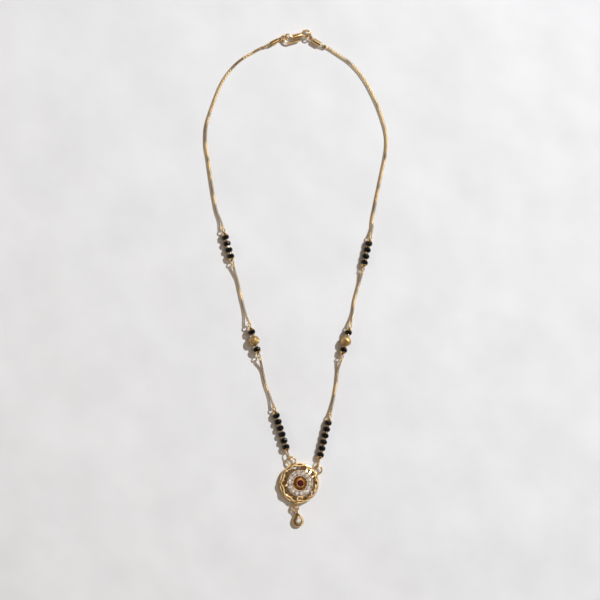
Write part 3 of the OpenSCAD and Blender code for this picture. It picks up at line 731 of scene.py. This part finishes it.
def build_clasp():
    """The S hook and the wire wound round its middle."""
    place = stand(flat(HOOK_AT, AXIS_Z), HOOK_TURN)
    wire = curve_points([Vector((x, y, 0)) for x, y in HOOK_PATH], CURVE_STEPS)
    r = HOOK_WIRE / 2
    start, start_r = swollen_end(wire[0], wire[1], r, r * 1.001, 5)
    end, end_r = swollen_end(wire[-1], wire[-2], r, HOOK_BALL / 2, 12)
    radii = start_r[::-1] + [r] * len(wire) + end_r
    shape = Shape().add(*tube(start[::-1] + wire + end, radii, 20), place)
    piece("s_hook", shape, bright_gold, "clasp_hook", TURNED_EDGE)

    # The coil, its ends a little thinner
    steps, r = 40, (HOOK_WIRE + WRAP_WIRE) / 2 + GAP
    count, run = int(steps * WRAP_TURNS), (WRAP_WIRE + GAP) * WRAP_TURNS
    path, radii = [], []
    for i in range(count + 1):
        a = math.pi + 2 * math.pi * i / steps
        path.append(Vector((run * (i / count - 0.5), r * math.cos(a), r * math.sin(a))))
        radii.append(WRAP_WIRE / 2 * min(1, 0.72 + 0.09 * min(i, count - i)))
    shape = Shape().add(*tube(path, radii, WIRE_SIDES), place)
    piece("wound_wire", shape, bright_gold, "clasp_wrap", TURNED_EDGE)


# Pendant

# Radii and heights that its forms share: band, pierced sheet, rim, stones, groove, bezel and dish
BAND_R, IN_WALL, SHEET_T = PENDANT_D / 2, SETTING_R - 0.2, 0.8
INNER_TOP, RIM_TOP, RIM_FOOT = SETTING_TOP - 0.35, BAND_H + 1.1, RIM_R - RIM_WAVE - RIM_W / 2
STONE_Z, RUBY_Z, RUBY_SEAT = SETTING_TOP - 0.3, SETTING_TOP + RUBY_RISE, RUBY_D / 2 + GAP
GROOVE_OUT, GROOVE_IN = STONE_RING_R + STONE_D / 2 + GAP, STONE_RING_R - STONE_D / 2 - GAP
GROOVE_FLOOR, GROOVE_BED, BEZEL_R = STONE_Z - STONE_D * 0.43 - GAP, 0.25, RUBY_D / 2 + 0.35
DISH_IN, DISH_OUT, DISH_FLOOR = BEZEL_R + 0.1, GROOVE_IN - 0.24, SETTING_TOP - 1.15


def rim_at(a):
    """The rim's radius, which waves in and out once for each lobe."""
    return RIM_R + RIM_WAVE * math.cos(LOBES * a)


def egg(r, half_r, half_w, taper, turn):
    """An opening at a radius, wider at its outer end, or at its inner end if taper is below 0."""
    out, c, s = [], math.cos(turn), math.sin(turn)
    for a in around(20):
        x, y = r + half_r * math.cos(a), (1 + taper * math.cos(a)) * half_w * math.sin(a)
        out.append((x * c - y * s, x * s + y * c))
    return out


def sheet_top(r):
    """Height of the pierced sheet, which climbs from the rim to the setting."""
    foot, low = RIM_FOOT - 0.1, RIM_TOP - 0.15
    return low + (INNER_TOP - low) * max(0.0, foot - r) / (foot - IN_WALL)


def lattice_form():
    """The pierced sheet between rim and setting, cut flat and then bent to its dome."""
    edge, lap, tuck = 0.1, 0.08, 0.05
    inner, outer, small = SETTING_R + 0.3, RIM_R + RIM_WAVE - RIM_W / 2 + lap, RIM_FOOT + lap
    loops = [[((rim_at(a) - tuck) * math.cos(a), (rim_at(a) - tuck) * math.sin(a))
              for a in around(200)]]
    loops.append([(p.x, p.y) for p in circle(IN_WALL, 0, 120)])
    for a in around(LOBES):
        loops.append(egg((inner + outer) / 2, (outer - inner) / 2 + edge, 0.82 + edge, 0.35, a))
        loops.append(egg((inner + small) / 2, (small - inner) / 2 + edge, 0.5 + edge, -0.35,
                         a + math.pi / LOBES))
    data = bpy.data.curves.new("sheet", "CURVE")
    data.dimensions, data.fill_mode = "2D", "BOTH"
    data.extrude, data.bevel_depth, data.bevel_resolution = SHEET_T / 2 - edge, edge, 2
    for loop in loops:
        spline = data.splines.new("POLY")
        spline.points.add(len(loop) - 1)
        for p, (x, y) in zip(spline.points, loop):
            p.co = (x, y, 0, 1)
        spline.use_cyclic_u = True
    sheet = into_scene("sheet", data)
    bpy.context.view_layer.update()
    mesh = bpy.data.meshes.new_from_object(sheet.evaluated_get(bpy.context.evaluated_depsgraph_get()))
    points = []
    for v in mesh.vertices:
        lift = sheet_top(math.hypot(v.co.x, v.co.y)) - SHEET_T / 2
        points.append(v.co + Vector((0, 0, lift)))
    faces = [tuple(p.vertices) for p in mesh.polygons]
    bpy.data.objects.remove(sheet)
    bpy.data.meshes.remove(mesh)
    return points, faces


def band_form():
    """The band at the back, flat below and rounded above."""
    inside = BAND_R - BAND_WALL
    outline = [(inside, 0), (BAND_R, 0), (BAND_R, BAND_H), (inside, BAND_H)]
    return lathe(rounded(outline, 0.2, 4, keep=(0, 1)), ROUND_STEPS)


def rim_form():
    """The rim's rounded section, swept along its wave."""
    half, foot = RIM_W / 2, BAND_H + 0.2
    section = [(-half, foot), (half, foot), (half, RIM_TOP), (-half, RIM_TOP)]
    return lathe(rounded(section, 0.22, 4), 300, rim_at)


def setting_form():
    """The round setting: outer wall, groove for the clear stones, and bezel of the red stone."""
    top, floor, axis = SETTING_TOP, SETTING_TOP - 1.85, 0.02
    outline = [
        (axis, floor), (SETTING_R - 0.3, floor), (SETTING_R, floor + 0.4), (SETTING_R, top - 0.12),
        (SETTING_R - 0.12, top), (GROOVE_OUT + 0.06, top), (GROOVE_OUT, top - 0.1),
        (GROOVE_OUT, STONE_Z - 0.1), (STONE_RING_R + GROOVE_BED, GROOVE_FLOOR),
        (STONE_RING_R - GROOVE_BED, GROOVE_FLOOR), (GROOVE_IN, STONE_Z - 0.1), (GROOVE_IN, top - 0.1),
        (GROOVE_IN - 0.06, top), (DISH_OUT, top), (DISH_OUT, top - 0.1), (DISH_IN, DISH_FLOOR - 0.1),
        (BEZEL_R, DISH_FLOOR - 0.1), (BEZEL_R, RUBY_Z - 0.1), (BEZEL_R - 0.1, RUBY_Z + 0.12),
        (RUBY_SEAT, RUBY_Z + 0.12), (RUBY_SEAT, RUBY_Z - 0.12), (0.3, RUBY_Z - RUBY_D * 0.45),
        (axis, RUBY_Z - RUBY_D * 0.45)]
    return lathe(rounded(outline, 0.06, 2), ROUND_STEPS)


def dish_form():
    """A skin of dark brown gold over the dish, which sinks from the stones to the bezel: painted shade
    in its hollow.
    """
    sink, edge, skin = DISH_FLOOR - SETTING_TOP, DISH_OUT + 0.02, 0.15
    outline = [(edge, SETTING_TOP - 0.02)]
    for t in (0.15, 0.3, 0.45, 0.6, 0.75, 0.9):
        outline.append((DISH_OUT + (DISH_IN - DISH_OUT) * t,
                        SETTING_TOP + sink * (t + 0.12 * math.sin(math.pi * t))))
    outline += [(DISH_IN, DISH_FLOOR), (BEZEL_R - 0.05, DISH_FLOOR),
                (BEZEL_R - 0.05, DISH_FLOOR - skin), (DISH_IN, DISH_FLOOR - skin),
                (edge, SETTING_TOP - skin)]
    return lathe(outline, 120)


def rib_form():
    """One rib of the dish along X, from the bezel up to the stones, thin at both ends."""
    foot, steps = Vector((DISH_IN, 0, DISH_FLOOR)), 8
    slope = Vector((DISH_OUT - DISH_IN, 0, SETTING_TOP - DISH_FLOOR))
    path, radii = [], []
    for i in range(steps + 1):
        t = 0.1 + 0.8 * i / steps
        path.append(foot + t * slope - Vector((0, 0, 0.13 * math.sin(math.pi * (1 - t)))))
        radii.append(0.2 * math.sqrt(max(0.05, 1 - (2 * i / steps - 1) ** 4)))
    return tube(path, radii, 10)


def lining_form():
    """White metal that lines the groove of the clear stones."""
    t, top, bed = 0.04, SETTING_TOP, GROOVE_BED
    outline = [
        (GROOVE_OUT + 0.05, top + t), (GROOVE_OUT - t, top - 0.08), (GROOVE_OUT - t, STONE_Z - 0.08),
        (STONE_RING_R + bed - t, GROOVE_FLOOR + t), (STONE_RING_R - bed + t, GROOVE_FLOOR + t),
        (GROOVE_IN + t, STONE_Z - 0.08), (GROOVE_IN + t, top - 0.08), (GROOVE_IN - 0.05, top + t),
        (GROOVE_IN - 0.2, top + t), (GROOVE_IN - 0.2, top - t), (GROOVE_IN - 0.05, top - t),
        (GROOVE_IN - t, STONE_Z - 0.12), (STONE_RING_R, GROOVE_FLOOR - t),
        (GROOVE_OUT + t, STONE_Z - 0.12), (GROOVE_OUT + 0.14, top - t), (GROOVE_OUT + 0.14, top + t)]
    return lathe(outline, ROUND_STEPS)


def build_pendant():
    """The dish in painted brown shade, the gold of the pendant, and the white metal round its clear
    stones.
    """
    place = stand(flat(PENDANT_AT, 0), 90 + PENDANT_TURN)
    dish = Shape().add(*dish_form(), place)
    piece("dish", dish, shaded_dish_gold, "pendant_frame", CAST_EDGE)

    shape = Shape()
    for form in (band_form(), rim_form(), lattice_form()):
        shape.add(*form, place)
    # Posts carry the rim on the band
    post_r = 0.31
    post = [Vector((BAND_R - BAND_WALL / 2, 0, BAND_H * 0.6)),
            Vector((RIM_R + RIM_WAVE, 0, BAND_H + 0.55))]
    for turn in turns(LOBES):
        shape.add(*tube([turn @ p for p in post], [post_r, post_r], 12), place)
    shape.add(*setting_form(), place)
    for turn in turns(RIBS, 0.5):
        shape.add(*rib_form(), place @ turn)
    for a in (LOOP_TURN, -LOOP_TURN):
        at = stand((0, 0, AXIS_Z), a) @ Matrix.Translation((LOOP_FROM_MIDDLE, 0, 0))
        shape.add(*ring(LOOP_R, LOOP_WIRE, 64), place @ at)
    bail_at = Matrix.Translation((BAND_R + BAIL_OUT, 0, BAIL_R + LOOP_WIRE / 2))
    at = stand((0, 0, 0), BAIL_TURN) @ bail_at @ UPRIGHT
    shape.add(*ring(BAIL_R, LOOP_WIRE, 56), place @ at)
    piece("pendant_gold", shape, bright_gold, "pendant_frame", CAST_EDGE)

    # The lining carries a bar between two stones, with a grain at each end
    shape = Shape().add(*lining_form(), place)
    bar = [Vector((STONE_RING_R + out, 0, SETTING_TOP - down))
           for out, down in ((-0.8, 0.2), (0, 0.3), (0.8, 0.2))]
    bar_radii, grains = [0.1, 0.07, 0.13], ((0.78, 0.24), (-0.72, 0.17))
    for turn in turns(STONES, 0.5):
        for out, r in grains:
            at = Matrix.Translation((STONE_RING_R + out, 0, SETTING_TOP - 0.12))
            shape.add(*ball(r), place @ turn @ at)
        shape.add(*tube(bar, bar_radii, 8), place @ turn)
    piece("stone_groove", shape, white_metal, "pendant_frame", CAST_EDGE)


# Drop


def pear(width, length, x, z):
    """A pear outline, its point towards -X, softened a little at the point."""
    r, steps = width / 2, 44
    middle, opening = length / 2 - r, math.acos(r / (length - r))
    bow = []
    for k in range(steps + 1):
        a = math.pi + opening + (2 * math.pi - 2 * opening) * k / steps
        bow.append(Vector((x + middle + r * math.cos(a), r * math.sin(a), z)))
    tip, lower, upper = Vector((x - length / 2, 0, z)), [], []
    for share in (0.25, 0.5, 0.75):
        swell = Vector((0, 0.035 * width * math.sin(math.pi * share), 0))
        lower.append(tip.lerp(bow[0], share) - swell)
        upper.append(bow[-1].lerp(tip, 1 - share) + swell)
    return [tip + Vector((0.03 * length, 0, 0))] + lower + bow + upper[::-1]


def build_drop():
    """The jump ring under the pendant and the setting of the pear stone."""
    ring_r = BAND_R + DROP_RING_CLEAR + DROP_RING_WIRE / 2 + DROP_RING_R
    ring_at = on_pendant(BAIL_TURN, ring_r)
    shape = Shape().add(*ring(DROP_RING_R, DROP_RING_WIRE, 56), Matrix.Translation(ring_at))
    piece("drop_jump_ring", shape, bright_gold, "drop_ring", TURNED_EDGE)

    place = stand(flat(ring_at + DROP_RING_R * toward(DROP_RING_TURN), 0), DROP_TURN)
    x = DROP_EYE_R + DROP_LEN / 2 - DROP_EYE_WIRE / 2
    seat_x, seat_z, lip, shoulder = x + 0.3, DROP_H - 0.2 - GAP, 0.35, 0.965
    seat_w, seat_len = DROP_STONE_W + 2 * GAP, DROP_STONE_LEN + 3 * GAP
    # The body swells from the table and draws in, then slopes up to the lip round the stone
    rows = []
    for share, height in ((0.78, 0.0), (0.86, 0.03), (0.93, 0.12), (0.975, 0.25), (0.995, 0.38),
                          (1.0, 0.46), (0.992, 0.56), (shoulder, 0.63)):
        rows.append(pear(DROP_W * share, DROP_LEN * share, x, DROP_H * height))
    top_w, top_len = DROP_W * shoulder, DROP_LEN * shoulder
    lip_w, lip_len = seat_w + 2 * lip, seat_len + 2.4 * lip
    for t, height in ((0.3, 0.73), (0.65, 0.87), (0.92, 0.975), (1.0, 1.0)):
        rows.append(pear(top_w * (1 - t) + lip_w * t, top_len * (1 - t) + lip_len * t,
                         x * (1 - t) + seat_x * t, DROP_H * height))
    # The seat of the stone, from its upper edge down to its floor
    for width, length, z in (
            (seat_w + 0.1, seat_len + 0.1, DROP_H + 0.02), (seat_w, seat_len, DROP_H - 0.06),
            (seat_w, seat_len, seat_z), (seat_w * 0.3, seat_len * 0.3, seat_z - 0.9)):
        rows.append(pear(width, length, seat_x, z))
    shape = Shape().add(*loft(rows), place)
    eye_at = Matrix.Translation((0, 0, AXIS_Z)) @ UPRIGHT
    shape.add(*ring(DROP_EYE_R, DROP_EYE_WIRE, 44), place @ eye_at)
    # Grains round the stone, drawn in towards its point
    grains_x, grains_r = seat_x + 0.42, seat_w / 2 + 0.02
    for turn in (-62, -20, 20, 62, 130, -130):
        p = grains_r * toward(turn)
        drawn_in = 0.62 if abs(turn) > 90 else 1
        at = Matrix.Translation((grains_x + p.x, p.y * drawn_in, DROP_H))
        shape.add(*ball(SETTING_GRAIN_R), place @ at)
    piece("pear_setting", shape, bright_gold, "drop_setting", CAST_EDGE)


# Everything together

STONE_LOOKS = {"ruby": ruby, "drop_stone": pale_stone, "clear_stones": clear}


def look_of(node):
    """The look of a node of the part, shown where no piece stands for it."""
    if node in STONE_LOOKS:
        return STONE_LOOKS[node]
    if node.endswith("gold_bead"):
        return bead_gold
    return black if "_bead_" in node else bright_gold


for name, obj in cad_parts.items():
    obj.data.materials.clear()
    obj.data.materials.append(look_of(name))

build_beads()
build_chains()
build_clasp()
build_pendant()
build_drop()

# Floor and lights, in metres and watts. The floor lies a hair under the part
bpy.ops.mesh.primitive_plane_add(size=3.0, location=(0, 0, -0.00002))
floor = bpy.context.object
floor.name = "floor"
floor.data.materials.append(cloth("pale_cloth"))

world = bpy.data.worlds.new("studio")
bpy.context.scene.world = world
world.use_nodes = True
sky = world.node_tree.nodes["Background"]
sky.inputs["Color"].default_value = (1.0, 0.72, 0.50, 1)
sky.inputs["Strength"].default_value = 0.15


def area(name, turn, height, distance, size, power, colour):
    """A square lamp that faces the middle, at a turn from +X and a height in degrees."""
    h = math.radians(height)
    at = (toward(turn) * math.cos(h) + Vector((0, 0, math.sin(h)))) * distance
    data = bpy.data.lights.new(name, "AREA")
    data.energy, data.size, data.color = power, size, colour
    light = into_scene(name, data)
    light.location = at
    light.rotation_euler = (-at).to_track_quat("-Z", "Y").to_euler()


area("key", 42, 45, 2.2, 0.065, 52, (0.90, 0.955, 1.0))
# Wide panels that the gold mirrors: one nearly overhead, one from the left, one from the pendant's side
area("panel_top", 15, 72, 1.6, 0.6, 2.2, (1.0, 0.95, 0.88))
area("panel_left", 185, 34, 1.6, 0.45, 2.2, (1.0, 0.90, 0.76))
area("panel_below", 285, 38, 1.6, 0.4, 0.9, (1.0, 0.90, 0.78))

# The camera stands some degrees to the left of the necklace and below it, and looks at its middle
AIM, AWAY, LEFT, BELOW, VIEW_W = Vector((0.00138, -0.0099, 0.001)), 1.5, 12, 2, 0.2755
cam_data = bpy.data.cameras.new("camera")
cam_data.sensor_width = 36
cam_data.lens = cam_data.sensor_width * AWAY / VIEW_W
camera = into_scene("camera", cam_data)
back = Vector((-math.tan(math.radians(LEFT)), -math.tan(math.radians(BELOW)), 1)).normalized()
right = Vector((0, 1, 0)).cross(back).normalized()
turned = Matrix((right, back.cross(right), back)).transposed().to_4x4()
camera.matrix_world = Matrix.Translation(AIM + AWAY * back) @ turned
bpy.context.scene.camera = camera
bpy.context.scene.view_settings.view_transform = "Standard"
